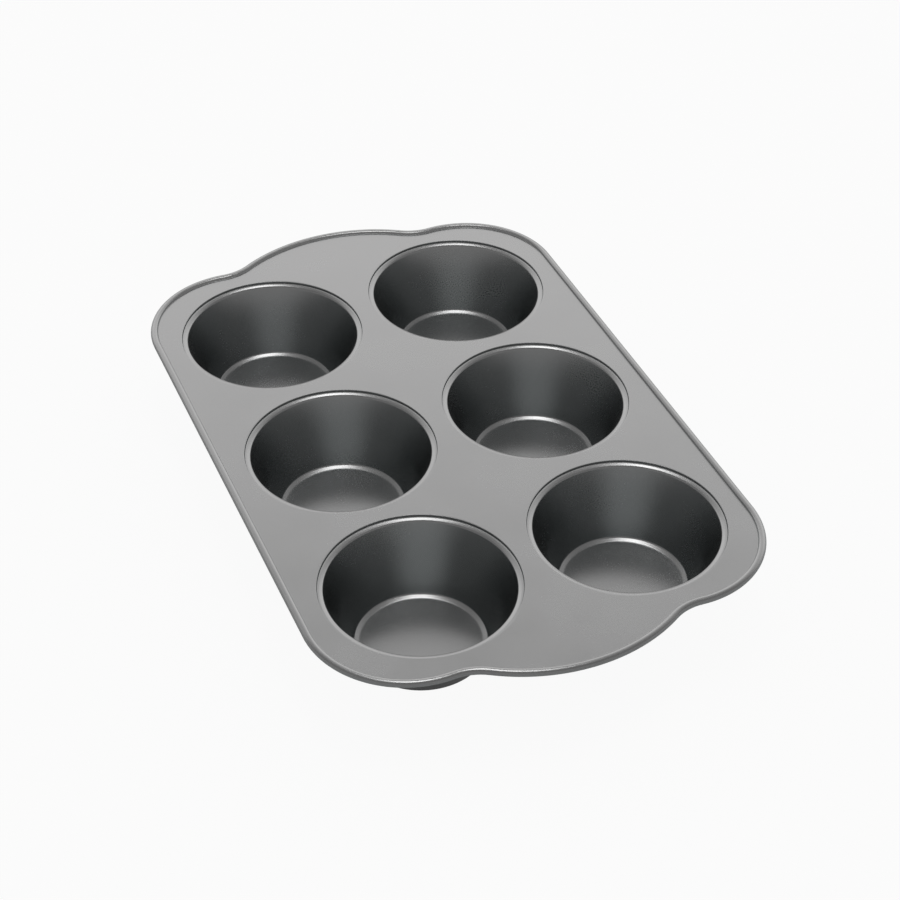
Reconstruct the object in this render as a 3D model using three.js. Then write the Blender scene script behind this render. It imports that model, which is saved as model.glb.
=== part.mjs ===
// A six-cup jumbo muffin pan in coated carbon steel. One pressed deck carries six drawn cups, each
// locked into a collar of the deck by a folded seam, and the deck's edge is curled round a steel wire.
// Millimetres, +Z up. The pan stands on its cup bottoms at z = 0, centred on x and y, its length along y.
import * as THREE from 'three';
import { mergeGeometries, mergeVertices, toCreasedNormals } from 'three/addons/utils/BufferGeometryUtils.js';

// Sheets and wire
const DECK_SHEET = 0.8;
const CUP_SHEET = 0.7;
const WIRE_DIAMETER = 2.2;

// Cups
const CUP_DEPTH = 39; // from the deck's top face to the floor
const FLOOR_DIAMETER = 59.8; // flat part of the floor
const FLOOR_FILLET = 3.2; // inside radius between floor and wall
const MOUTH_DIAMETER = 93.6; // between the insides of the rounded lip
const LIP_RADIUS = 1.7; // outside of the rounded lip
const LIP_LAND = 0.3; // level width between the lip's round and its fold
const LIP_DROP = 0.9; // from the deck's top face down to the lip

// Seam between cup and collar
const SEAM_FOLD = 0.1; // inside radius of the fold from lip to leg
const SEAM_CLEARANCE = 0.3; // on every side of the collar
const COLLAR_DEPTH = 4.5; // from the deck's top face to the collar's lower edge
const COLLAR_EDGE = 0.15; // bevel of the collar's upper edge

// Deck, over the outside of its rim
const WEB_ACROSS = 10.7; // between the collars of neighbours across the pan
const WEB_ALONG = 9.7; // between the collars of neighbours along the pan
const SIDE_MARGIN = 14.35; // from a collar to the long side
const END_MARGIN = 14.2; // from a collar to the shoulder beside a handle
const HANDLE_REACH = 17.3; // of the handle's tip beyond the shoulders
const HANDLE_RADIUS = 92.6;
const HOLLOW_RADIUS = 25.4; // between handle and corner
const CORNER_RADIUS = 51.8;

// Wired rim
const RIM_RISE = 1.7; // of the bead above the deck's top face
const RIM_BEND = 0.25; // hollow radius between deck and bead
const WIRE_CLEARANCE = 0.3;
const WIRE_GAP = 0.6; // between the butted ends of the wire
const CURL_END = THREE.MathUtils.degToRad(-145); // direction of the curl's free edge from the wire

// Facets
const ROUND_FACETS = 28; // round a cup
const OUTLINE_SAG = 0.25; // of a facet below the arcs of the deck's outline
const FILLET_STEPS = 3;
const LIP_STEPS = 3;
const FOLD_STEPS = 1;
const HOOK_STEPS = 3;
const RIM_BEND_STEPS = 1;
const CURL_STEPS = 6;
const WIRE_SIDES = 6;
const CREASE_ANGLE = THREE.MathUtils.degToRad(50);

const COLUMNS = ['left', 'right'];
const ROWS = ['front', 'middle', 'back'];

// Heights and radii that follow
const deckTop = CUP_SHEET + CUP_DEPTH;
const deckUnderside = deckTop - DECK_SHEET;
const lipCrest = MOUTH_DIAMETER / 2 + LIP_RADIUS;
const foldRadius = SEAM_FOLD + CUP_SHEET;
const collarInner = lipCrest + LIP_LAND + foldRadius + SEAM_CLEARANCE;
const collarOuter = collarInner + DECK_SHEET;
const collarBottom = deckTop - COLLAR_DEPTH;
const pitchAcross = 2 * collarInner + WEB_ACROSS;
const pitchAlong = 2 * collarInner + WEB_ALONG;
const halfWidth = ((COLUMNS.length - 1) / 2) * pitchAcross + collarInner + SIDE_MARGIN;
const shoulder = ((ROWS.length - 1) / 2) * pitchAlong + collarInner + END_MARGIN;
const handleTip = shoulder + HANDLE_REACH;
const curlRadius = WIRE_DIAMETER / 2 + WIRE_CLEARANCE + DECK_SHEET;
const curlCentre = new THREE.Vector2(-curlRadius, deckTop + RIM_RISE - curlRadius);

const cupPlaces = ROWS.flatMap((row, j) =>
  COLUMNS.map((column, i) => ({
    name: `cup_${row}_${column}`,
    x: (i - (COLUMNS.length - 1) / 2) * pitchAcross,
    y: (j - (ROWS.length - 1) / 2) * pitchAlong
  }))
);

// Points along an arc, each with the direction its front face looks in: away from the arc's centre where
// side is 1, and towards it where side is -1.
function arc(centre, radius, from, to, steps, side) {
  return Array.from({ length: steps + 1 }, (_, i) => {
    const angle = THREE.MathUtils.lerp(from, to, i / steps);
    const out = new THREE.Vector2(Math.cos(angle), Math.sin(angle));
    return { at: centre.clone().addScaledVector(out, radius), front: out.multiplyScalar(side) };
  });
}

// The front and back faces of a bent sheet, half a thickness to each side of its middle line.
function sheetFaces(line, thickness) {
  const offset = (amount) => line.map(({ at, front }) => at.clone().addScaledVector(front, amount));
  return { front: offset(thickness / 2), back: offset(-thickness / 2) };
}

// A surface through rows of points, facing along the rows crossed with the step to the next row.
function skin(rows) {
  const width = rows[0].length;
  const index = [];
  for (let i = 0; i < rows.length - 1; i++) {
    for (let j = 0; j < width - 1; j++) {
      const near = i * width + j;
      const far = near + width;
      index.push(near, near + 1, far + 1, near, far + 1, far);
    }
  }
  return new THREE.BufferGeometry().setFromPoints(rows.flat()).setIndex(index);
}

function positionsOnly(geometry) {
  geometry.deleteAttribute('normal');
  geometry.deleteAttribute('uv');
  return geometry;
}

// A profile of radius and height turned about a vertical axis.
function turned(profile) {
  return positionsOnly(new THREE.LatheGeometry(profile, ROUND_FACETS)).rotateX(Math.PI / 2);
}

// Joins corners that meet and drops the triangles that a pole or a closed end folds flat.
function weld(geometry) {
  const welded = mergeVertices(geometry);
  const corners = welded.index.array;
  const kept = [];
  for (let i = 0; i < corners.length; i += 3) {
    const [a, b, c] = corners.subarray(i, i + 3);
    if (a !== b && b !== c && c !== a) kept.push(a, b, c);
  }
  welded.setIndex(kept);
  return toCreasedNormals(welded, CREASE_ANGLE);
}

// The cup's sheet from the middle of its floor up the wall, over the lip, down inside the collar and
// round the collar's lower edge to just below the deck. Its front is the side the batter touches.
function cupLine() {
  const half = CUP_SHEET / 2;
  const filletCentre = new THREE.Vector2(FLOOR_DIAMETER / 2, CUP_SHEET + FLOOR_FILLET);
  const filletMiddle = FLOOR_FILLET + half;
  const lipTop = deckTop - LIP_DROP;
  const lipCentre = new THREE.Vector2(lipCrest, lipTop - LIP_RADIUS);
  const lipMiddle = LIP_RADIUS - half;
  const foldCentre = new THREE.Vector2(lipCrest + LIP_LAND, lipTop - foldRadius);
  const hookMiddle = DECK_SHEET / 2 + SEAM_CLEARANCE + half;
  const hookCentre = new THREE.Vector2(collarInner + DECK_SHEET / 2, collarBottom);

  // The wall touches both rounds, with the fillet on its left and the lip on its right.
  const span = lipCentre.clone().sub(filletCentre);
  const wall = span.angle() + Math.asin((filletMiddle + lipMiddle) / span.length());
  const quarter = Math.PI / 2;

  return [
    { at: new THREE.Vector2(0, half), front: new THREE.Vector2(0, 1) },
    ...arc(filletCentre, filletMiddle, -quarter, wall - quarter, FILLET_STEPS, -1),
    ...arc(lipCentre, lipMiddle, wall + quarter, quarter, LIP_STEPS, 1),
    ...arc(foldCentre, foldRadius - half, quarter, 0, FOLD_STEPS, 1),
    ...arc(hookCentre, hookMiddle, 2 * quarter, 4 * quarter, HOOK_STEPS, -1),
    {
      at: new THREE.Vector2(hookCentre.x + hookMiddle, deckUnderside - SEAM_CLEARANCE),
      front: new THREE.Vector2(-1, 0)
    }
  ];
}

function cupGeometry() {
  const { front, back } = sheetFaces(cupLine(), CUP_SHEET);
  return weld(turned([...back, ...front.reverse()]));
}

// Stations round the outside of the rim, anticlockwise from the straight right-hand side, each with its
// outward direction. Corner, hollow and handle are arcs that run into each other without a kink.
function outlineStations() {
  const corner = new THREE.Vector2(halfWidth - CORNER_RADIUS, shoulder - CORNER_RADIUS);
  const handle = new THREE.Vector2(0, handleTip - HANDLE_RADIUS);
  const toCorner = corner.clone().sub(handle);
  const reach = toCorner.length();
  const sideA = HANDLE_RADIUS + HOLLOW_RADIUS;
  const sideB = CORNER_RADIUS + HOLLOW_RADIUS;
  const opening = Math.acos((sideA ** 2 + reach ** 2 - sideB ** 2) / (2 * sideA * reach));
  const handleTurn = toCorner.angle() + opening;
  const hollow = handle.clone().add(new THREE.Vector2(sideA, 0).rotateAround(new THREE.Vector2(), handleTurn));
  const cornerTurn = hollow.clone().sub(corner).angle();

  const round = (centre, radius, from, to, side) => {
    const facet = 2 * Math.acos(1 - OUTLINE_SAG / radius);
    return arc(centre, radius, from, to, Math.ceil(Math.abs(to - from) / facet), side);
  };
  const quarter = [
    ...round(corner, CORNER_RADIUS, 0, cornerTurn, 1),
    ...round(hollow, HOLLOW_RADIUS, cornerTurn + Math.PI, handleTurn + Math.PI, -1).slice(1),
    ...round(handle, HANDLE_RADIUS, handleTurn, Math.PI / 2, 1).slice(1)
  ];
  const turnedBy = (signX, signY) => ({ at, front }) => ({
    at: new THREE.Vector2(signX * at.x, signY * at.y),
    front: new THREE.Vector2(signX * front.x, signY * front.y)
  });
  const half = [...quarter, ...quarter.slice(0, -1).reverse().map(turnedBy(-1, 1))];
  return [...half, ...half.map(turnedBy(-1, -1))];
}

// A point of the rim's section carried to a station: x outwards from the outline, y the height.
function carried(station, point) {
  const plan = station.at.clone().addScaledVector(station.front, point.x);
  return new THREE.Vector3(plan.x, plan.y, point.y);
}

// The deck's sheet from the flat up into the bead and round the wire. Its front is the upper side.
function rimLine() {
  const bendMiddle = RIM_BEND + DECK_SHEET / 2;
  const curlMiddle = curlRadius - DECK_SHEET / 2;
  const rise = deckTop + RIM_BEND - curlCentre.y;
  const run = Math.sqrt((bendMiddle + curlMiddle) ** 2 - rise ** 2);
  const bendCentre = new THREE.Vector2(curlCentre.x - run, deckTop + RIM_BEND);
  const meeting = Math.atan2(-rise, run);
  return [
    ...arc(bendCentre, bendMiddle, -Math.PI / 2, meeting, RIM_BEND_STEPS, -1),
    ...arc(curlCentre, curlMiddle, meeting + Math.PI, CURL_END, CURL_STEPS, 1).slice(1)
  ];
}

// The collar that hangs round a cup's hole: bevelled edge, inner face, lower edge and outer face.
function collarGeometry({ x, y }) {
  const profile = [
    new THREE.Vector2(collarInner + COLLAR_EDGE, deckTop),
    new THREE.Vector2(collarInner, deckTop - COLLAR_EDGE),
    new THREE.Vector2(collarInner, collarBottom),
    new THREE.Vector2(collarOuter, collarBottom),
    new THREE.Vector2(collarOuter, deckUnderside)
  ];
  return turned(profile).translate(x, y, 0);
}

// One of the collar's round edges, first or last in its profile, as a path in plan.
function collarEdge(collar, last) {
  const position = collar.getAttribute('position');
  const profileLength = position.count / (ROUND_FACETS + 1);
  const first = last ? profileLength - 1 : 0;
  return new THREE.Path(
    Array.from({ length: ROUND_FACETS }, (_, i) =>
      new THREE.Vector2().fromBufferAttribute(position, first + i * profileLength)
    )
  );
}

// A level face of the deck between its rim and its collars.
function levelFace(stations, edge, holes) {
  const shape = new THREE.Shape(stations.map((station) => carried(station, edge)));
  shape.holes = holes;
  return positionsOnly(new THREE.ShapeGeometry(shape)).translate(0, 0, edge.y);
}

function deckGeometry() {
  const stations = outlineStations();
  const { front, back } = sheetFaces(rimLine(), DECK_SHEET);
  const section = [...front, ...back.toReversed()];
  const rim = skin([...stations, stations[0]].map((station) => section.map((point) => carried(station, point))));
  const collars = cupPlaces.map(collarGeometry);
  const top = levelFace(stations, front[0], collars.map((collar) => collarEdge(collar, false)));
  const underside = levelFace(stations, back[0], collars.map((collar) => collarEdge(collar, true)));
  underside.index.array.reverse();
  return weld(mergeGeometries([rim, top, underside, ...collars]));
}

// The wire runs once round the rim from one butted end to the other, midway along the right-hand side.
function wireGeometry() {
  const end = (y) => ({ at: new THREE.Vector2(halfWidth, y), front: new THREE.Vector2(1, 0) });
  const stations = [end(WIRE_GAP / 2), ...outlineStations(), end(-WIRE_GAP / 2)];
  const ring = arc(curlCentre, WIRE_DIAMETER / 2, Math.PI, -Math.PI, WIRE_SIDES, 1).map(({ at }) => at);
  const rows = stations.map((station) => ring.map((point) => carried(station, point)));
  const closing = (station) => ring.map(() => carried(station, curlCentre));
  return weld(skin([closing(stations[0]), ...rows, closing(stations.at(-1))]));
}

function mesh(name, geometry, material) {
  const piece = new THREE.Mesh(geometry, material);
  piece.name = name;
  return piece;
}

function coatedSteel() {
  return new THREE.MeshStandardMaterial({ color: 0x8c8d8d, roughness: 0.42, metalness: 0.7 });
}

function bareWire() {
  return new THREE.MeshStandardMaterial({ color: 0xb2b4b5, roughness: 0.35, metalness: 1 });
}

const frame = new THREE.Group();
frame.add(mesh('deck', deckGeometry(), coatedSteel()));
frame.add(mesh('rim_wire', wireGeometry(), bareWire()));

const cups = new THREE.Group();
for (const { name, x, y } of cupPlaces) {
  const cup = mesh(name, cupGeometry(), coatedSteel());
  cup.position.set(x, y, 0);
  cups.add(cup);
}

const pan = new THREE.Group();
pan.add(frame, cups);

export default pan;
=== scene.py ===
"""A six-cup muffin pan in grey coated steel: its looks, its studio and its camera.

Every surface is worked out as arrays. A sheet is a middle line with half a thickness to either side. The
cups are such sheets turned about their axes, and the deck is flat cells round its six collars with a
rim carried round its outline and curled over a wire. Metres, +Z up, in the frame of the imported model.
"""
import math

import bpy
import numpy as np
from mathutils import Matrix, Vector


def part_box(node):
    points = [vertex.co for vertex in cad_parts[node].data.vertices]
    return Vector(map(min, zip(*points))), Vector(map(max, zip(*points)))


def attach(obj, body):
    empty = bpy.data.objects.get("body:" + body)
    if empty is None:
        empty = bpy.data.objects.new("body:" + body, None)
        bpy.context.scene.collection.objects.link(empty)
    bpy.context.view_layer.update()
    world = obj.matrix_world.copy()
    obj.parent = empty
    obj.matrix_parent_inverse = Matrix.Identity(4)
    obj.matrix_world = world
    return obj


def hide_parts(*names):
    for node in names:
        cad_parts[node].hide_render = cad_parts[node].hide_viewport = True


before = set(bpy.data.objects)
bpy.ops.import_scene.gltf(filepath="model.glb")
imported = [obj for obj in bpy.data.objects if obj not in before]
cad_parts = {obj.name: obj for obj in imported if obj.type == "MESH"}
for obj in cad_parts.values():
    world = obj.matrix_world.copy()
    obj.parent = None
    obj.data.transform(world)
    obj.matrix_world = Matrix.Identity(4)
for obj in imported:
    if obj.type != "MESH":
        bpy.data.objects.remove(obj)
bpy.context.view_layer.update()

bl_info = {
    "name": "Muffin Pan",
    "version": (1, 0, 0),
    "blender": (4, 5, 0),
    "location": "3D View > Sidebar > Muffin Pan",
    "description": "Builds a six-cup muffin pan in coated steel and a plain studio round it",
    "category": "Object",
}

CUP_NODES = [f"cup_{row}_{column}" for row in ("front", "middle", "back") for column in ("left", "right")]
CUP_BOXES = {name: np.array(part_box(name)) for name in CUP_NODES}
CUP_CENTRES = {name: box.mean(axis=0)[:2] for name, box in CUP_BOXES.items()}
LIP_TOP = max(box[1, 2] for box in CUP_BOXES.values())
DECK_HALF_WIDTH, HANDLE_TIP = np.array(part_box("deck"))[1, :2]
ROW_SPLIT = abs(CUP_CENTRES["cup_back_right"] - CUP_CENTRES["cup_middle_right"])[1] / 2

# Mesh fineness
CUP_TURNS = 192  # round a cup
OUTLINE_STEP = 0.0022  # between stations along the rim
WEB_STEP = 0.0030  # between points on the lines where two cells of the deck meet
WIRE_SIDES = 20  # round the wire
SHEET_END_STEPS = 8  # round a sheet's free edge
SOFT_STEPS = 5  # on the slight bends beside a cup's bevels
ROUND_STEPS = 10  # on a cup's fillet and nose
FOLD_STEPS = 6
HOOK_STEPS = 14
CUP_STRAIGHTS = (10, 4, 14, 4, 2, 5, 4)  # on the straights between a cup's arcs
RIM_BEND_STEPS = 8
SHOULDER_STEPS = 6
CROWN_STEPS = 12
CURL_STEPS = 28
RIM_STRAIGHTS = (3, 1, 1)  # between the arcs of the rim
HOLE_EDGE_STEPS = 5
COLLAR_END_STEPS = 8
COLLAR_ROOT_STEPS = 6
COLLAR_STRAIGHTS = (4, 4)  # between the arcs of a collar
LEVEL_STEPS = 9  # from a collar to the edge of its cell
WELD = 1e-7  # points closer than this are one

# Painted shade on the underside and down the outside of the bead: a point's share of it makes the coat dull
# up to DULL, and darker beyond
DULL = 0.5
SIDE_DROPS = (-0.8, -0.5, 0.2, 0.6)  # down the outside of the bead, in radii from the wire's middle
SIDE_SHADE_SHARES = (0.0, DULL, DULL, 1.0)
DULL_ROUGHNESS = 0.3  # added where the coat is dull
GLOSS, DULL_GLOSS = 0.5, 0.15

# Patterns, in features to a metre, and their reach
FLECK_SCALE, CLOUD_SCALE, PEEL_SCALE, RIPPLE_SCALE, MOTTLE_SCALE = 1400.0, 22.0, 900.0, 30.0, 700.0
FLECK_SHARE = 0.35  # of the fleck in the coat's pattern, the rest being cloud
TINT_RANGE, NOISE_RANGE = (0.36, 0.64), (0.35, 0.65)  # of a pattern between its two ends
COAT_VARIATION, ROUGHNESS_VARIATION, WIRE_VARIATION = 0.04, 0.03, 0.15
PEEL_DEPTH, RIPPLE_DEPTH, MOTTLE_DEPTH = 0.0000009, 0.00006, 0.00001

# Surround, by the height that a direction climbs to and by how far it points to the back
BACK_RISE = (0.0, 0.4)  # from the horizon's brightness to the back's
BACK_FALL = (0.56, 0.85)  # from the back's brightness to the top's
FRONT_FALL = (0.0, 0.5)  # from the front's glow to its plain brightness
BEHIND = (0.15, 0.8)  # from the front to the back

FLOOR_REACH = 30.0  # of the studio's floor to either side
FLOOR_DROP = 0.0002  # of that floor below the cups
SENSOR_WIDTH = 36.0  # millimetres
FOLD_MIDDLE = 0.52  # of a fold's radius, where the middle of the ironed sheet lies
QUARTER = math.pi / 2


def length(name, description, default):
    """A size in metres for a property group."""
    return bpy.props.FloatProperty(
        name=name, description=description, default=default, min=0.0, unit="LENGTH", precision=5
    )


def angle(name, description, degrees):
    """An angle for a property group."""
    return bpy.props.FloatProperty(
        name=name, description=description, default=math.radians(degrees), subtype="ANGLE"
    )


def colour(name, description, default):
    """A colour for a property group."""
    return bpy.props.FloatVectorProperty(
        name=name, description=description, default=default, size=3, min=0.0, max=1.0, subtype="COLOR"
    )


def share(name, description, default):
    """A number between nothing and all of something for a property group."""
    return bpy.props.FloatProperty(
        name=name, description=description, default=default, min=0.0, max=1.0, subtype="FACTOR"
    )


def brightness(name, description, default):
    """A level of light for a property group, where 1 is white."""
    return bpy.props.FloatProperty(name=name, description=description, default=default, min=0.0)


class PanSizes(bpy.types.PropertyGroup):
    """Sizes of the pan's sheets, cups, seams and rim."""

    deck_sheet: length("Deck Sheet", "Thickness of the deck's sheet", 0.0008)
    cup_sheet: length("Cup Sheet", "Thickness of a cup's sheet", 0.0007)
    floor_diameter: length("Floor Diameter", "Flat part of a cup's floor", 0.0602)
    floor_bend: length("Floor Bend", "Inside radius between floor and bevel", 0.004)
    floor_bevel: length("Floor Bevel", "Width of the bevel round the floor", 0.0014)
    floor_fillet: length("Floor Fillet", "Inside radius between bevel and wall", 0.0012)
    lip_nose: length("Lip Nose", "Outside radius between wall and bevel", 0.0012)
    lip_bevel: length("Lip Bevel", "Width of the lip's bevel", 0.0008)
    lip_bend: length("Lip Bend", "Outside radius between bevel and land", 0.004)
    lip_land: length("Lip Land", "Level width between the lip and the seam", 0.0001)
    bevel_slope: angle("Bevel Slope", "Of the bevels round the floor and on the lip", 18)
    lip_drop: length("Lip Drop", "From the deck's top face down to the lip", 0.0009)
    hole_radius: length("Hole Radius", "Inside of a collar of the deck", 0.0499)
    hole_edge: length("Hole Edge", "Round on the collar's upper edge", 0.0002)
    collar_depth: length("Collar Depth", "From the deck's top face to the collar's lower edge", 0.0045)
    seam_fold: length("Seam Fold", "Outside radius of the ironed fold between lip and seam", 0.00025)
    seam_gap: length("Seam Gap", "Between the cup's seam and the collar", 0.00005)
    handle_reach: length("Handle Reach", "Of a handle's tip beyond the shoulders", 0.0173)
    handle_radius: length("Handle Radius", "Of a handle's edge in plan", 0.0926)
    hollow_radius: length("Hollow Radius", "Between handle and corner in plan", 0.0254)
    corner_radius: length("Corner Radius", "Of the pan's corners in plan", 0.0518)
    rim_rise: length("Rim Rise", "Of the bead above the deck's top face", 0.0014)
    rim_bend: length("Rim Bend", "Hollow radius between deck and bead", 0.00025)
    rim_slope: angle("Rim Slope", "Of the bead's inner side", 66)
    rim_shoulder: length("Rim Shoulder", "Radius between the bead's inner side and its crown", 0.0005)
    rim_crown: length("Rim Crown", "Radius of the bead's shallow top", 0.0032)
    crown_slope: angle("Crown Slope", "Of the crown at its two edges", 22)
    curl_sheet: length("Curl Sheet", "Thickness of the deck's sheet where it is rolled", 0.00055)
    wire_diameter: length("Wire Diameter", "Of the wire inside the bead", 0.002)
    wire_clearance: length("Wire Clearance", "Between the wire and the curl", 0.00005)
    hook_clearance: length("Hook Clearance", "Between a seam's free edge and the deck", 0.0003)
    wire_gap: length("Wire Gap", "Between the butted ends of the wire", 0.0006)
    curl_end: angle("Curl End", "Direction of the curl's free edge as seen from the wire", -145)


class PanFinish(bpy.types.PropertyGroup):
    """Colours and gloss of the coating and of the bare wire."""

    coat: colour("Coat", "Grey of the coating", (0.331, 0.354, 0.357))
    coat_roughness: share("Coat Roughness", "Spread of the coating's reflections", 0.25)
    # Painted shade: the dark grey that the coat turns to on the underside and down the outside of the bead
    painted_shade_grey: colour("Painted Shade Grey", "Grey of the painted shade on the underside and the bead's outside", (0.082, 0.086, 0.087))
    wire: colour("Wire", "Grey of the bare wire", (0.55, 0.56, 0.57))
    wire_roughness: share("Wire Roughness", "Spread of the wire's reflections", 0.3)


class PanStudio(bpy.types.PropertyGroup):
    """Floor, light and camera."""

    floor: colour("Floor", "Colour of the floor", (0.76, 0.81, 0.82))
    light: colour("Light", "Tint of the lamp and the surround", (1.0, 0.934, 0.925))
    floor_white: share("Floor White", "How far the floor is lifted to white in the picture", 0.94)
    light_turn: angle("Light Turn", "Of the surround's bright side round the pan from the back", -24)
    back_light: brightness("Back Light", "Of the surround behind the pan", 1.4)
    horizon_light: brightness("Horizon Light", "Of the surround behind the pan at the horizon", 0.42)
    top_light: brightness("Top Light", "Of the surround above the pan", 0.32)
    front_light: brightness("Front Light", "Of the surround in front of the pan", 0.33)
    front_glow: brightness("Front Glow", "Of the surround in front of the pan at the horizon", 0.5)
    lamp_power: bpy.props.FloatProperty(
        name="Lamp Power", description="Of the lamp overhead", default=12.2, min=0.0, unit="POWER"
    )
    lamp_width: length("Lamp Width", "Of the lamp overhead", 0.78)
    lamp_length: length("Lamp Length", "Of the lamp overhead, along the view", 1.2)
    lamp_distance: length("Lamp Distance", "From the lamp to the point that the camera looks at", 3.45)
    lamp_climb: angle("Lamp Climb", "From the floor on the camera's side, up and over the pan", 106)
    camera_distance: length("Camera Distance", "From the camera to the point it looks at", 1.05814)
    camera_turn: angle("Camera Turn", "Of the camera round the pan from the front", -22.812)
    camera_climb: angle("Camera Climb", "Of the camera above the floor", 39.618)
    camera_roll: angle("Camera Roll", "Of the picture about its middle", 0.177)
    camera_target: bpy.props.FloatVectorProperty(
        name="Camera Target", description="Point in the middle of the picture",
        default=(-0.003127, -0.021531, 0.03905), size=3, subtype="TRANSLATION", precision=5,
    )
    camera_lens: bpy.props.FloatProperty(
        name="Camera Lens", description="Focal length on a 36 mm wide picture, in millimetres",
        default=81.708, unit="CAMERA",
    )


# Lines and grids

def arc(centre, radius, start, end, steps, side=1):
    """Points at even angles on a circle, with normals away from its centre (side 1) or to it (side -1).

    A side between 0 and 1 shortens the normals, for a sheet that is thinner there.
    """
    angles = np.linspace(start, end, steps + 1)
    out = np.column_stack([np.cos(angles), np.sin(angles)])
    return np.asarray(centre) + radius * out, side * out


def eased(steps):
    """Shares from 0 to 1 that crowd towards both ends: half a wave of a cosine."""
    return (1 - np.cos(np.linspace(0, math.pi, steps + 1))) / 2


def joined(runs, gaps):
    """Runs of points and normals end to end, with gaps[i] eased steps on the straight after run i."""
    points, normals = [runs[0][0]], [runs[0][1]]
    for (last, last_normal), (run, run_normal), steps in zip(runs, runs[1:], gaps):
        t = eased(steps)[1:-1, None]
        points += [last[-1] + t * (run[0] - last[-1]), run]
        normals += [last_normal[-1] + t * (run_normal[0] - last_normal[-1]), run_normal]
    return np.concatenate(points), np.concatenate(normals)


def deduplicated(points, normals):
    """Runs that touch leave a point twice: each point once."""
    kept = np.concatenate([[True], np.linalg.norm(np.diff(points, axis=0), axis=1) > WELD])
    return points[kept], normals[kept]


def sheet_section(points, normals, thickness):
    """Section of a bent sheet: its back face, a half circle round its free edge, its front face back again.

    The faces lie half a thickness to either side of the middle line, along the normals. Also tells which
    points are on the back face.
    """
    half = thickness / 2
    along = points[-1] - points[-2]
    along = along / np.linalg.norm(along)
    turn = np.linspace(-QUARTER, QUARTER, SHEET_END_STEPS + 1)[1:-1, None]
    edge = points[-1] + half * (np.sin(turn) * normals[-1] + np.cos(turn) * along)
    section = np.concatenate([points - half * normals, edge, (points + half * normals)[::-1]])
    return section, np.arange(len(section)) < len(points)


def turned(section, centre, turns):
    """A section of radius r and height h turned about an axis through c.

    x = cx + r cos a, y = cy + r sin a and z = h, for angles a all round.
    """
    angle = np.linspace(0, 2 * math.pi, turns, endpoint=False)[:, None]
    radius, height = section.T
    x = centre[0] + radius * np.cos(angle)
    y = centre[1] + radius * np.sin(angle)
    return np.stack([x, y, np.broadcast_to(height, x.shape)], axis=-1)


def carried(at, out, section):
    """A section of reach u and height h carried along stations: plan = at + u out, z = h."""
    plan = at[:, None] + out[:, None] * section[None, :, :1]
    height = np.broadcast_to(section[:, 1:], plan.shape[:2] + (1,))
    return np.concatenate([plan, height], axis=-1)


def grid_quads(rows, columns, closed):
    """Corner numbers of a grid's cells; in a closed grid the last row meets the first."""
    row = np.arange(rows if closed else rows - 1)[:, None]
    near = row * columns + np.arange(columns - 1)
    far = (row + 1) % rows * columns + np.arange(columns - 1)
    return np.stack([near, far, far + 1, near + 1], axis=-1).reshape(-1, 4)


def patch(points, under, closed=True):
    """A grid of points as a flat list of points, their shares of painted shade and its cells."""
    shares = np.broadcast_to(under, points.shape[:2]).reshape(-1)
    return points.reshape(-1, 3), shares, grid_quads(*points.shape[:2], closed)


def welded(patches):
    """Patches as one skin: points that meet become one, and sides that a pole folds flat are dropped."""
    points, under = (np.concatenate(column) for column in list(zip(*patches))[:2])
    starts = np.cumsum([0] + [len(shares) for _, shares, _ in patches])
    quads = np.concatenate([cells + start for (_, _, cells), start in zip(patches, starts)])
    _, first, number = np.unique(np.round(points / WELD).astype(np.int64), axis=0,
                                 return_index=True, return_inverse=True)
    quads = number.reshape(-1)[quads]
    kept = quads != np.roll(quads, 1, axis=1)
    corners = kept.sum(axis=1)
    triangles = quads[corners == 3][kept[corners == 3]].reshape(-1, 3)
    return points[first], under[first], quads[corners == 4].tolist() + triangles.tolist()


def add_piece(name, skin, material):
    """A smooth mesh object at the origin, with its finish and an attribute for its share of painted shade.
    """
    points, under, faces = skin
    mesh = bpy.data.meshes.new(name)
    mesh.from_pydata(points.tolist(), [], faces)
    mesh.shade_smooth()
    # The under attribute holds each point's share of painted shade
    mesh.attributes.new("under", "FLOAT", "POINT").data.foreach_set("value", under.astype(np.float32))
    mesh.materials.append(material)
    piece = bpy.data.objects.new(name, mesh)
    bpy.context.scene.collection.objects.link(piece)
    return piece


# Shapes

def deck_top(sizes):
    """Height of the deck's top face."""
    return LIP_TOP + sizes.lip_drop


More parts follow.
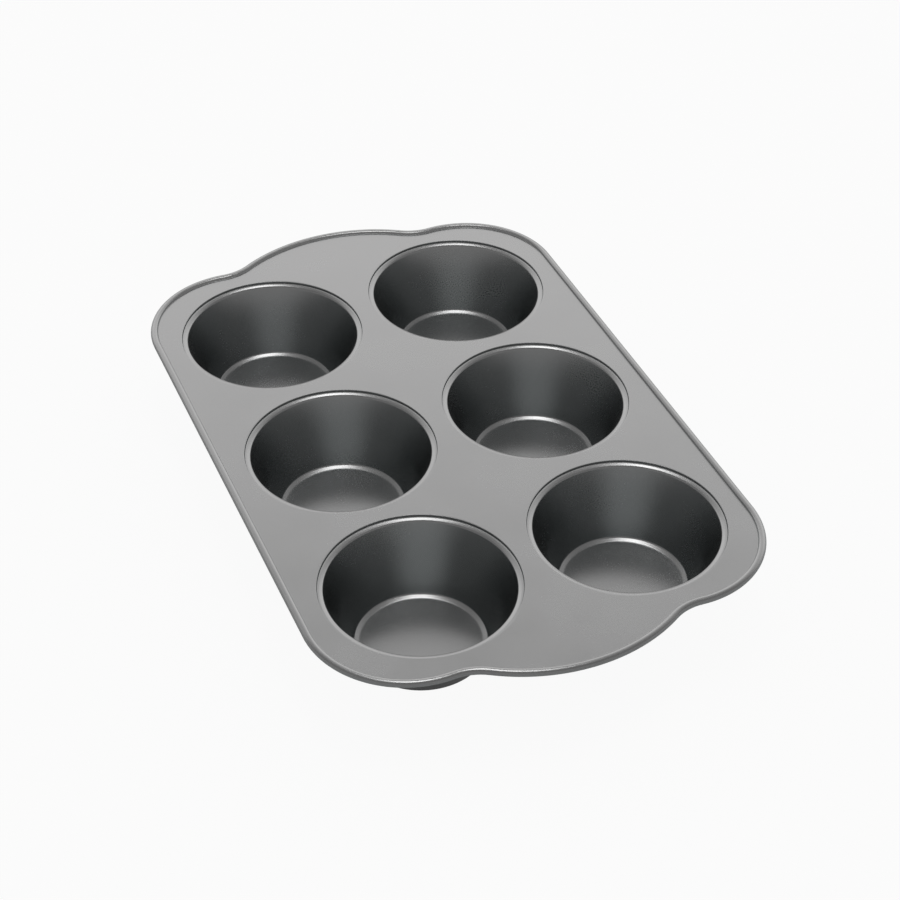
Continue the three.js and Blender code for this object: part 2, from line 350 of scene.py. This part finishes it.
def cup_section(sizes):
    """Sheet of a cup from the middle of its floor up the wall, over the lip and into the seam.

    A bevel runs round the floor and another is on the lip, each with an arc at either end, and the wall
    is the straight that touches the floor's fillet and the lip's nose. Behind the lip the sheet folds
    down inside the collar, ironed thin there, turns round the collar's lower edge and ends just below
    the deck.
    """
    half, slope = sizes.cup_sheet / 2, sizes.bevel_slope
    along = np.array([math.cos(slope), math.sin(slope)])
    up = np.array([-math.sin(slope), math.cos(slope)])
    bend_centre = np.array([sizes.floor_diameter / 2, sizes.cup_sheet + sizes.floor_bend])
    fillet_centre = bend_centre + sizes.floor_bevel * along + (sizes.floor_fillet - sizes.floor_bend) * up
    fillet_middle = sizes.floor_fillet + half
    fold_centre = np.array([sizes.hole_radius - sizes.seam_gap, LIP_TOP]) - sizes.seam_fold
    fold_middle = sizes.seam_fold * FOLD_MIDDLE
    fold_share = (sizes.seam_fold - fold_middle) / half
    crown_centre = np.array([fold_centre[0] - sizes.lip_land, LIP_TOP - sizes.lip_bend])
    nose_centre = crown_centre - sizes.lip_bevel * along + (sizes.lip_bend - sizes.lip_nose) * up
    nose_middle = sizes.lip_nose - half
    hook_radius = sizes.deck_sheet / 2 + sizes.seam_gap + half
    hook_centre = np.array([sizes.hole_radius + sizes.deck_sheet / 2, deck_top(sizes) - sizes.collar_depth])
    hook_top = deck_top(sizes) - sizes.deck_sheet - sizes.hook_clearance
    hook_end = np.array([[hook_centre[0] + hook_radius, hook_top]])

    span = nose_centre - fillet_centre
    wall = math.atan2(span[1], span[0]) + math.asin((fillet_middle + nose_middle) / np.linalg.norm(span))
    runs = [
        (np.array([[0.0, half]]), np.array([[0.0, 1.0]])),
        arc(bend_centre, sizes.floor_bend + half, -QUARTER, slope - QUARTER, SOFT_STEPS, -1),
        arc(fillet_centre, fillet_middle, slope - QUARTER, wall - QUARTER, ROUND_STEPS, -1),
        arc(nose_centre, nose_middle, wall + QUARTER, slope + QUARTER, ROUND_STEPS),
        arc(crown_centre, sizes.lip_bend - half, slope + QUARTER, QUARTER, SOFT_STEPS),
        arc(fold_centre, fold_middle, QUARTER, 0, FOLD_STEPS, fold_share),
        arc(hook_centre, hook_radius, math.pi, 2 * math.pi, HOOK_STEPS, -1),
        (hook_end, np.array([[-1.0, 0.0]])),
    ]
    line, normals = joined(runs, CUP_STRAIGHTS)
    # The back face, the outside of the cup, takes the painted shade
    return sheet_section(line, normals, sizes.cup_sheet)


def rim_section(sizes):
    """Sheet of the deck's rim, as reach from the outline and height.

    A hollow bend, the steep inner side, a shoulder, the shallow crown and the curl round the wire, with
    each arc running into the next. Also gives each point's share of painted shade, which covers the
    sheet's underside and grows down the outside of the bead, and the middle of the wire.
    """
    def out(turn):
        return np.array([math.cos(turn), math.sin(turn)])

    top, half = deck_top(sizes), sizes.deck_sheet / 2
    thin = sizes.curl_sheet / sizes.deck_sheet
    curl_radius = sizes.wire_diameter / 2 + sizes.wire_clearance + sizes.curl_sheet
    crown_out, crown_in = QUARTER - sizes.crown_slope, QUARTER + sizes.crown_slope
    crown_centre = np.array([-curl_radius, top + sizes.rim_rise - sizes.rim_crown])
    crown_centre[0] -= (sizes.rim_crown - curl_radius) * math.cos(crown_out)
    curl_centre = crown_centre + (sizes.rim_crown - curl_radius) * out(crown_out)
    shoulder_centre = crown_centre + (sizes.rim_crown - sizes.rim_shoulder) * out(crown_in)
    side = QUARTER + sizes.rim_slope
    foot = shoulder_centre + sizes.rim_shoulder * out(side)
    bend_height = top + sizes.rim_bend
    climb = foot[1] - bend_height + sizes.rim_bend * math.cos(sizes.rim_slope)
    bend_reach = foot[0] - climb / math.tan(sizes.rim_slope) - sizes.rim_bend * math.sin(sizes.rim_slope)
    bend_centre = (bend_reach, bend_height)
    runs = [
        arc(bend_centre, sizes.rim_bend + half, -QUARTER, sizes.rim_slope - QUARTER, RIM_BEND_STEPS, -1),
        arc(shoulder_centre, sizes.rim_shoulder - thin * half, side, crown_in, SHOULDER_STEPS, thin),
        arc(crown_centre, sizes.rim_crown - thin * half, crown_in, crown_out, CROWN_STEPS, thin),
        arc(curl_centre, curl_radius - thin * half, crown_out, sizes.curl_end, CURL_STEPS, thin),
    ]
    line, normals = deduplicated(*joined(runs, RIM_STRAIGHTS))
    section, under = sheet_section(line, normals, sizes.deck_sheet)
    # Painted shade grows down the outside of the bead, and covers the sheet's back face
    drop = (curl_centre[1] - section[:, 1]) / curl_radius
    outside = section[:, 0] > curl_centre[0]
    shaded = np.interp(drop, SIDE_DROPS, SIDE_SHADE_SHARES) * outside
    return section, np.maximum(under, shaded), curl_centre


def outline_quarter(sizes):
    """Outside of the rim in plan, from the middle of the right side to the tip of the back handle.

    A straight, then three arcs that run into each other without a kink: corner, hollow and handle.
    Returns points, outward directions and the number of the point where the back row begins.
    """
    shoulder = HANDLE_TIP - sizes.handle_reach
    corner = np.array([DECK_HALF_WIDTH - sizes.corner_radius, shoulder - sizes.corner_radius])
    handle = np.array([0.0, HANDLE_TIP - sizes.handle_radius])
    reach = np.linalg.norm(corner - handle)
    side_a = sizes.handle_radius + sizes.hollow_radius
    side_b = sizes.corner_radius + sizes.hollow_radius
    opening = math.acos((side_a ** 2 + reach ** 2 - side_b ** 2) / (2 * side_a * reach))
    handle_turn = math.atan2(*(corner - handle)[::-1]) + opening
    hollow = handle + side_a * np.array([math.cos(handle_turn), math.sin(handle_turn)])
    corner_turn = math.atan2(*(hollow - corner)[::-1])

    def straight(low, high):
        y = np.linspace(low, high, math.ceil((high - low) / OUTLINE_STEP) + 1)
        return np.column_stack([np.full_like(y, DECK_HALF_WIDTH), y]), np.tile([1.0, 0.0], (len(y), 1))

    def bow(centre, radius, start, end, side):
        steps = math.ceil(abs(end - start) * radius / OUTLINE_STEP)
        at, out = arc(centre, radius, start, end, steps, side)
        return at[1:], out[1:]

    middle = straight(0.0, ROW_SPLIT)
    back = straight(ROW_SPLIT, corner[1])
    runs = [
        middle,
        (back[0][1:], back[1][1:]),
        bow(corner, sizes.corner_radius, 0.0, corner_turn, 1),
        bow(hollow, sizes.hollow_radius, corner_turn + math.pi, handle_turn + math.pi, -1),
        bow(handle, sizes.handle_radius, handle_turn, QUARTER, 1),
    ]
    at = np.concatenate([run[0] for run in runs])
    out = np.concatenate([run[1] for run in runs])
    return at, out, len(middle[0]) - 1


def all_round(quarter):
    """A quarter of the outline mirrored into the whole, anticlockwise from the middle of the right side."""
    half = np.concatenate([quarter, (quarter * [-1, 1])[::-1][1:]])
    return np.concatenate([half[:-1], -half[:-1]])


def web_line(start, end):
    """Points on the straight where two cells of the deck meet, without the first."""
    steps = math.ceil(math.dist(start, end) / WEB_STEP)
    return np.linspace(start, end, steps + 1)[1:]


def cell_loops(inner, split):
    """Edges of the deck's cells in plan, anticlockwise: one at a corner and one in the middle row.

    inner is the quarter outline at the foot of the rim, and split is where the back row begins on it.
    """
    tip, side = inner[-1], inner[split]
    middle = np.array([0.0, side[1]])
    below = np.array([1, -1])
    corner_cell = np.concatenate([inner[split:], web_line(tip, middle), web_line(middle, side)[:-1]])
    middle_cell = np.concatenate([
        (inner[:split + 1] * below)[::-1], inner[1:split + 1], web_line(side, middle),
        web_line(middle, middle * below), web_line(middle * below, side * below)[:-1],
    ])
    return corner_cell, middle_cell


def cell_patch(sizes, centre, loop):
    """One cell of the deck: top face, collar and underside along rays from the cup's axis.

    Each column has a radius r, a height and a share s of the way from r to the cell's edge at distance
    d, so a point's distance from the axis is r + s (d - r).
    """
    top, sheet, edge = deck_top(sizes), sizes.deck_sheet, sizes.hole_edge
    hole, bottom, underside = sizes.hole_radius, top - sizes.collar_depth, top - sheet
    root = edge + sheet
    runs = [
        arc((hole + edge, top - edge), edge, QUARTER, math.pi, HOLE_EDGE_STEPS),
        arc((hole + sheet / 2, bottom + sheet / 2), sheet / 2, math.pi, 2 * math.pi, COLLAR_END_STEPS),
        arc((hole + sheet + root, underside - root), root, math.pi, QUARTER, COLLAR_ROOT_STEPS),
    ]
    collar, _ = joined(runs, COLLAR_STRAIGHTS)
    level, across = np.ones(LEVEL_STEPS), eased(LEVEL_STEPS)
    radius = np.concatenate([collar[0, 0] * level, collar[:, 0], collar[-1, 0] * level])
    height = np.concatenate([top * level, collar[:, 1], underside * level])
    reach = np.concatenate([across[:0:-1], np.zeros(len(collar)), across[1:]])
    ray = loop - centre
    distance = np.linalg.norm(ray, axis=1)[:, None]
    plan = centre + (ray / distance)[:, None] * (radius + reach * (distance - radius))[..., None]
    # Painted shade: from below the collar's upper round, down the collar and across the underside
    under = np.arange(len(radius)) > LEVEL_STEPS + len(runs[0][0])
    heights = np.broadcast_to(height[:, None], plan.shape[:2] + (1,))
    return patch(np.concatenate([plan, heights], axis=-1), under)


# Finishes

def add_node(tree, kind, **values):
    """A node with its settings and socket values."""
    node = tree.nodes.new(kind)
    for name, value in values.items():
        if name in node.inputs:
            node.inputs[name].default_value = value
        else:
            setattr(node, name, value)
    return node


def noise(tree, coordinates, scale, detail=2.0):
    """A noise pattern with so many features to a metre."""
    node = add_node(tree, "ShaderNodeTexNoise", Scale=scale, Detail=detail)
    tree.links.new(coordinates, node.inputs["Vector"])
    return node.outputs["Fac"]


def ramp(tree, value, low, high, colours):
    """Two colours mixed by a value between low and high."""
    node = add_node(tree, "ShaderNodeValToRGB")
    for element, place, tint in zip(node.color_ramp.elements, (low, high), colours):
        element.position = place
        element.color = (*tint, 1.0)
    tree.links.new(value, node.inputs["Fac"])
    return node.outputs["Color"]


def math_node(tree, operation, first, second):
    """Two values, linked or fixed, combined by an operation."""
    node = add_node(tree, "ShaderNodeMath", operation=operation)
    for socket, value in zip(node.inputs, (first, second)):
        if isinstance(value, (int, float)):
            socket.default_value = value
        else:
            tree.links.new(value, socket)
    return node.outputs["Value"]


def map_range(tree, value, low, high, to_low, to_high, easing="LINEAR"):
    """A value between low and high carried over to between to_low and to_high."""
    node = add_node(tree, "ShaderNodeMapRange", interpolation_type=easing)
    for socket, number in zip(("From Min", "From Max", "To Min", "To Max"), (low, high, to_low, to_high)):
        node.inputs[socket].default_value = number
    tree.links.new(value, node.inputs["Value"])
    return node.outputs["Result"]


def bump(tree, height, distance, below=None):
    """A relief of the given depth in metres, over another relief if one is given."""
    node = add_node(tree, "ShaderNodeBump", Distance=distance, Strength=1.0)
    tree.links.new(height, node.inputs["Height"])
    if below:
        tree.links.new(below, node.inputs["Normal"])
    return node.outputs["Normal"]


def new_material(name):
    """An empty metal material: its tree, its shader and Object coordinates."""
    material = bpy.data.materials.new(name)
    material.use_nodes = True
    tree = material.node_tree
    shader = tree.nodes["Principled BSDF"]
    shader.inputs["Metallic"].default_value = 1.0
    place = add_node(tree, "ShaderNodeTexCoord").outputs["Object"]
    return material, tree, shader, place


def scaled(tint, factor):
    """A colour made lighter or darker."""
    return tuple(factor * channel for channel in tint)


def satin_coat(finish):
    """Satin grey non-stick coat, duller and darker by a point's share of painted shade, on the underside
    and down the outside of the bead.

    A fine metallic fleck over faint clouds varies its grey and its gloss, and a slight ripple and a
    fine peel bend its reflections.
    """
    material, tree, shader, place = new_material("satin_coat")
    coat = tuple(finish.coat)
    fleck = math_node(tree, "MULTIPLY", noise(tree, place, FLECK_SCALE), FLECK_SHARE)
    cloud = math_node(tree, "MULTIPLY", noise(tree, place, CLOUD_SCALE, detail=3.0), 1.0 - FLECK_SHARE)
    pattern = math_node(tree, "ADD", fleck, cloud)
    # Painted shade: the under attribute first dulls the coat, then darkens its grey towards the painted
    # shade grey
    under = add_node(tree, "ShaderNodeAttribute", attribute_name="under").outputs["Fac"]
    dull = map_range(tree, under, 0.0, DULL, 0.0, 1.0)
    dark = map_range(tree, under, DULL, 1.0, 0.0, 1.0)

    ends = (scaled(coat, 1.0 - COAT_VARIATION), scaled(coat, 1.0 + COAT_VARIATION))
    # Painted shade darkens the coat's grey where the under attribute passes DULL
    tint = add_node(tree, "ShaderNodeMixRGB")
    tint.inputs["Color2"].default_value = (*finish.painted_shade_grey, 1.0)
    tree.links.new(dark, tint.inputs["Fac"])
    tree.links.new(ramp(tree, pattern, *TINT_RANGE, ends), tint.inputs["Color1"])
    tree.links.new(tint.outputs["Color"], shader.inputs["Base Color"])

    smooth, rough = finish.coat_roughness - ROUGHNESS_VARIATION, finish.coat_roughness + ROUGHNESS_VARIATION
    spread = map_range(tree, pattern, *NOISE_RANGE, smooth, rough)
    matter = math_node(tree, "MULTIPLY", dull, DULL_ROUGHNESS)
    tree.links.new(math_node(tree, "ADD", spread, matter), shader.inputs["Roughness"])
    tree.links.new(map_range(tree, dull, 0.0, 1.0, 1.0, 0.0), shader.inputs["Metallic"])
    tree.links.new(map_range(tree, dull, 0.0, 1.0, GLOSS, DULL_GLOSS), shader.inputs["Specular IOR Level"])

    ripple = bump(tree, noise(tree, place, RIPPLE_SCALE, detail=1.0), RIPPLE_DEPTH)
    peel = bump(tree, noise(tree, place, PEEL_SCALE), PEEL_DEPTH, below=ripple)
    tree.links.new(peel, shader.inputs["Normal"])
    return material


def drawn_wire(finish):
    """Drawn steel wire with a faint mottle."""
    material, tree, shader, place = new_material("drawn_wire")
    tint = tuple(finish.wire)
    mottle = noise(tree, place, MOTTLE_SCALE, detail=3.0)
    ends = (scaled(tint, 1.0 - WIRE_VARIATION), tint)
    tree.links.new(ramp(tree, mottle, *NOISE_RANGE, ends), shader.inputs["Base Color"])
    shader.inputs["Roughness"].default_value = finish.wire_roughness
    tree.links.new(bump(tree, mottle, MOTTLE_DEPTH), shader.inputs["Normal"])
    return material


def finish_named(name, maker, finish):
    """The material of that name, made the first time that it is asked for."""
    return bpy.data.materials.get(name) or maker(finish)


# Studio

def floor_material(studio):
    """Pale floor that keeps a soft shadow, lifted towards white in the picture and in reflections."""
    material = bpy.data.materials.new("studio_floor")
    material.use_nodes = True
    tree = material.node_tree
    tree.nodes.remove(tree.nodes["Principled BSDF"])
    matt = add_node(tree, "ShaderNodeBsdfDiffuse", Color=(*studio.floor, 1.0))
    white = add_node(tree, "ShaderNodeEmission", Color=(1.0, 1.0, 1.0, 1.0), Strength=1.0)
    rays = add_node(tree, "ShaderNodeLightPath")
    seen = math_node(tree, "MAXIMUM", rays.outputs["Is Camera Ray"], rays.outputs["Is Glossy Ray"])
    seen = math_node(tree, "MAXIMUM", seen, rays.outputs["Is Transmission Ray"])
    lifted = math_node(tree, "MULTIPLY", seen, studio.floor_white)
    mix = add_node(tree, "ShaderNodeMixShader")
    tree.links.new(lifted, mix.inputs["Fac"])
    tree.links.new(matt.outputs["BSDF"], mix.inputs[1])
    tree.links.new(white.outputs["Emission"], mix.inputs[2])
    tree.links.new(mix.outputs["Shader"], tree.nodes["Material Output"].inputs["Surface"])
    return material


def add_floor(studio):
    """A square floor under the pan."""
    mesh = bpy.data.meshes.new("studio_floor")
    reach, low = FLOOR_REACH, -FLOOR_DROP
    corners = [(-reach, -reach, low), (reach, -reach, low), (reach, reach, low), (-reach, reach, low)]
    mesh.from_pydata(corners, [], [(0, 1, 2, 3)])
    mesh.materials.append(floor_material(studio))
    floor = bpy.data.objects.new("studio_floor", mesh)
    bpy.context.scene.collection.objects.link(floor)


def light_surround(scene, studio):
    """A pale surround: brightest half way up at the back, dimmer at the horizon, overhead and in front."""
    world = bpy.data.worlds.new("studio_surround")
    world.use_nodes = True
    tree = world.node_tree
    background = tree.nodes["Background"]
    direction = add_node(tree, "ShaderNodeTexCoord").outputs["Generated"]
    axes = add_node(tree, "ShaderNodeSeparateXYZ")
    tree.links.new(direction, axes.inputs["Vector"])
    behind = add_node(tree, "ShaderNodeVectorMath", operation="DOT_PRODUCT")
    behind.inputs[1].default_value = (-math.sin(studio.light_turn), math.cos(studio.light_turn), 0.0)
    tree.links.new(direction, behind.inputs[0])
    height = axes.outputs["Z"]
    low = map_range(tree, height, *BACK_RISE, studio.horizon_light, studio.back_light)
    high = map_range(tree, height, *BACK_FALL, studio.back_light, studio.top_light)
    back = math_node(tree, "MINIMUM", low, high)
    front = map_range(tree, height, *FRONT_FALL, studio.front_glow, studio.front_light)
    share_behind = map_range(tree, behind.outputs["Value"], *BEHIND, 0.0, 1.0, "SMOOTHSTEP")
    level = add_node(tree, "ShaderNodeMix", data_type="FLOAT")
    tree.links.new(share_behind, level.inputs[0])
    tree.links.new(front, level.inputs[2])
    tree.links.new(back, level.inputs[3])
    tree.links.new(level.outputs[0], background.inputs["Strength"])
    background.inputs["Color"].default_value = (*studio.light, 1.0)
    scene.world = world


def placed(studio, climb, distance, roll=0.0):
    """Where a lamp or camera stands that looks at the target from the camera's side, raised and rolled."""
    turn = studio.camera_turn
    right = np.array([math.cos(turn), math.sin(turn), 0.0])
    back = np.array([math.sin(turn) * math.cos(climb), -math.cos(turn) * math.cos(climb), math.sin(climb)])
    up = np.cross(back, right)
    axes = [
        math.cos(roll) * right + math.sin(roll) * up,
        math.cos(roll) * up - math.sin(roll) * right,
        back,
        np.array(studio.camera_target) + distance * back,
    ]
    return Matrix(np.vstack([np.column_stack(axes), [0.0, 0.0, 0.0, 1.0]]).tolist())


def add_lamp(scene, studio):
    """A wide soft lamp above the pan, beyond it as seen from the camera."""
    data = bpy.data.lights.new("studio_lamp", "AREA")
    data.shape = "RECTANGLE"
    data.size = studio.lamp_width
    data.size_y = studio.lamp_length
    data.energy = studio.lamp_power
    data.color = studio.light
    lamp = bpy.data.objects.new("studio_lamp", data)
    lamp.matrix_world = placed(studio, studio.lamp_climb, studio.lamp_distance)
    scene.collection.objects.link(lamp)


def add_camera(scene, studio):
    """The camera that takes the picture."""
    data = bpy.data.cameras.new("studio_camera")
    data.sensor_width = SENSOR_WIDTH
    data.lens = studio.camera_lens
    camera = bpy.data.objects.new("studio_camera", data)
    camera.matrix_world = placed(studio, studio.camera_climb, studio.camera_distance, studio.camera_roll)
    scene.collection.objects.link(camera)
    scene.camera = camera


# Operators and panel

class MUFFIN_OT_deck(bpy.types.Operator):
    """Build the pressed deck with its six collars, two handles and curled rim"""

    bl_idname = "muffin.deck"
    bl_label = "Deck"

    def execute(self, context):
        sizes = context.scene.pan_sizes
        section, under, _ = rim_section(sizes)
        at, out, split = outline_quarter(sizes)
        corner_cell, middle_cell = cell_loops(at + section[0, 0] * out, split)
        patches = [patch(carried(all_round(at), all_round(out), section), under)]
        for centre in CUP_CENTRES.values():
            sides = np.array([1 if centre[0] > 0 else -1, 1 if centre[1] > -WELD else -1])
            loop = sides * (middle_cell if abs(centre[1]) < WELD else corner_cell)
            patches.append(cell_patch(sizes, centre, loop[::sides.prod()]))
        coat = finish_named("satin_coat", satin_coat, context.scene.pan_finish)
        deck = add_piece("deck_sheet", welded(patches), coat)
        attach(deck, "root")
        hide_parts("deck")
        return {"FINISHED"}


class MUFFIN_OT_cups(bpy.types.Operator):
    """Build the six drawn cups with their lips and folded seams"""

    bl_idname = "muffin.cups"
    bl_label = "Cups"

    def execute(self, context):
        sizes = context.scene.pan_sizes
        coat = finish_named("satin_coat", satin_coat, context.scene.pan_finish)
        section, under = cup_section(sizes)
        for name, centre in CUP_CENTRES.items():
            skin = welded([patch(turned(section, centre, CUP_TURNS), under)])
            cup = add_piece(f"{name}_shell", skin, coat)
            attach(cup, "root")
            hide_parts(name)
        return {"FINISHED"}


class MUFFIN_OT_rim_wire(bpy.types.Operator):
    """Build the wire inside the rim, with its butted ends on the right side"""

    bl_idname = "muffin.rim_wire"
    bl_label = "Rim Wire"

    def execute(self, context):
        sizes = context.scene.pan_sizes
        *_, middle = rim_section(sizes)
        at, out, _ = outline_quarter(sizes)
        at, out = all_round(at), all_round(out)
        gap = np.array([0.0, sizes.wire_gap / 2])
        at = np.concatenate([at[:1] + gap, at[1:], at[:1] - gap])
        out = np.concatenate([out, out[:1]])
        ring, _ = arc(middle, sizes.wire_diameter / 2, 0, 2 * math.pi, WIRE_SIDES)
        tube = carried(at, out, ring)
        ends = carried(at[[0, -1]], out[[0, -1]], np.tile(middle, (len(ring), 1)))
        skin = welded([patch(np.concatenate([ends[:1], tube, ends[1:]]), 0.0, closed=False)])
        steel = finish_named("drawn_wire", drawn_wire, context.scene.pan_finish)
        wire = add_piece("rim_wire_loop", skin, steel)
        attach(wire, "root")
        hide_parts("rim_wire")
        return {"FINISHED"}


class MUFFIN_OT_studio(bpy.types.Operator):
    """Build the floor, the light and the camera"""

    bl_idname = "muffin.studio"
    bl_label = "Studio"

    def execute(self, context):
        scene, studio = context.scene, context.scene.pan_studio
        add_floor(studio)
        light_surround(scene, studio)
        add_lamp(scene, studio)
        add_camera(scene, studio)
        scene.view_settings.view_transform = "Standard"
        return {"FINISHED"}


class MUFFIN_PT_builder(bpy.types.Panel):
    """Sizes, finish and studio of the muffin pan, and what builds them"""

    bl_label = "Muffin Pan"
    bl_idname = "MUFFIN_PT_builder"
    bl_space_type = "VIEW_3D"
    bl_region_type = "UI"
    bl_category = "Muffin Pan"

    def draw(self, context):
        for operator in OPERATORS:
            self.layout.operator(operator.bl_idname)
        for group in (context.scene.pan_sizes, context.scene.pan_finish, context.scene.pan_studio):
            box = self.layout.box()
            for name in group.__annotations__:
                box.prop(group, name)


OPERATORS = (MUFFIN_OT_studio, MUFFIN_OT_deck, MUFFIN_OT_cups, MUFFIN_OT_rim_wire)
CLASSES = (PanSizes, PanFinish, PanStudio, *OPERATORS, MUFFIN_PT_builder)


def register():
    for cls in CLASSES:
        bpy.utils.register_class(cls)
    bpy.types.Scene.pan_sizes = bpy.props.PointerProperty(type=PanSizes)
    bpy.types.Scene.pan_finish = bpy.props.PointerProperty(type=PanFinish)
    bpy.types.Scene.pan_studio = bpy.props.PointerProperty(type=PanStudio)


def unregister():
    for name in ("pan_studio", "pan_finish", "pan_sizes"):
        delattr(bpy.types.Scene, name)
    for cls in reversed(CLASSES):
        bpy.utils.unregister_class(cls)


def main():
    register()
    bpy.ops.muffin.studio()
    bpy.ops.muffin.deck()
    bpy.ops.muffin.cups()
    bpy.ops.muffin.rim_wire()


if __name__ == "__main__":
    main()
